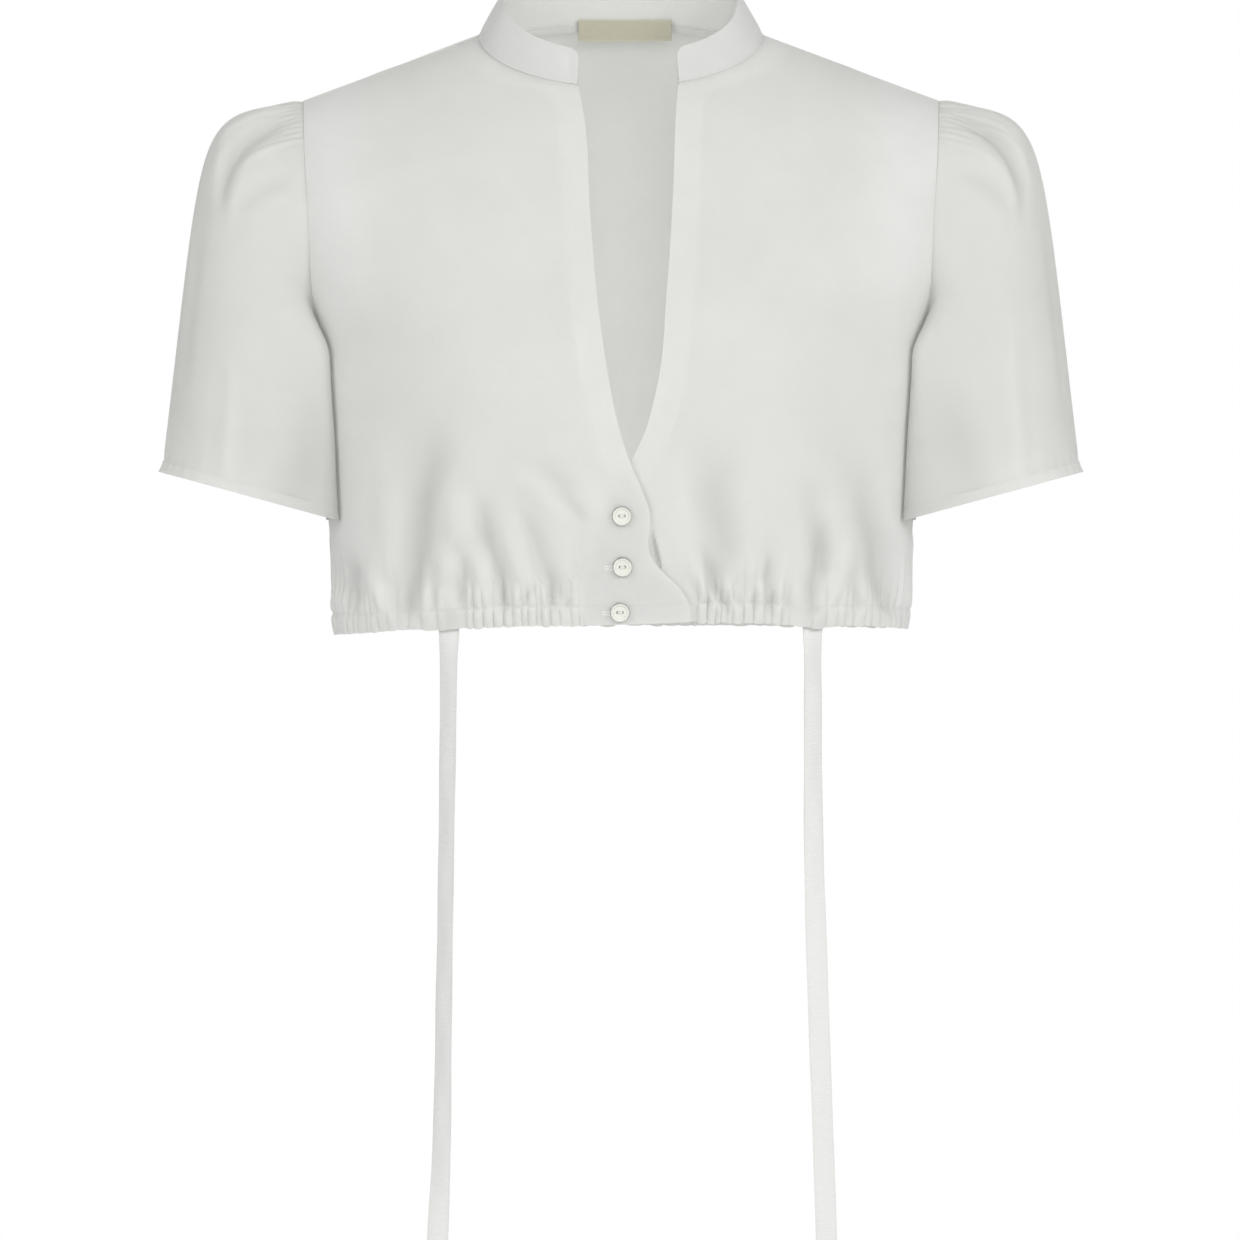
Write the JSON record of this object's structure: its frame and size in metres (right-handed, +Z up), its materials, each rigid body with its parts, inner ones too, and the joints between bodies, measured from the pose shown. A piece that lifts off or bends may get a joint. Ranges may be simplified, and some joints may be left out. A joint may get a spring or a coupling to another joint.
{
  "type": "dirndl blouse",
  "caption": "Cropped white dirndl blouse with a stand-up collar, deep V front, small buttons, short gathered sleeves, a gathered hem casing and two long ribbons.",
  "frame": {"origin": "centre of the blouse between the shoulders, level with the side points of the neck, where a wearer's shoulders hold it", "axes": "+Z up along the upright body, -Y out of the front with the buttons, +X towards the wearer's left"},
  "size_m": [0.556, 0.2226, 0.7912],
  "materials": {
    "blouse_cloth": "matt fine woven linen and cotton, off-white",
    "ribbon_tape": "matt flat woven ribbon, off-white",
    "button": "softly shining cream",
    "label": "matt woven beige"
  },
  "bodies": {
    "root": {"front_right": "blouse_cloth", "front_left": "blouse_cloth", "back": "blouse_cloth", "sleeve_right": "blouse_cloth", "sleeve_left": "blouse_cloth", "collar": "blouse_cloth", "button_1": "button", "button_2": "button", "button_3": "button", "ribbon_right": "ribbon_tape", "ribbon_left": "ribbon_tape", "neck_label": "label"}
  },
  "joints": []
}
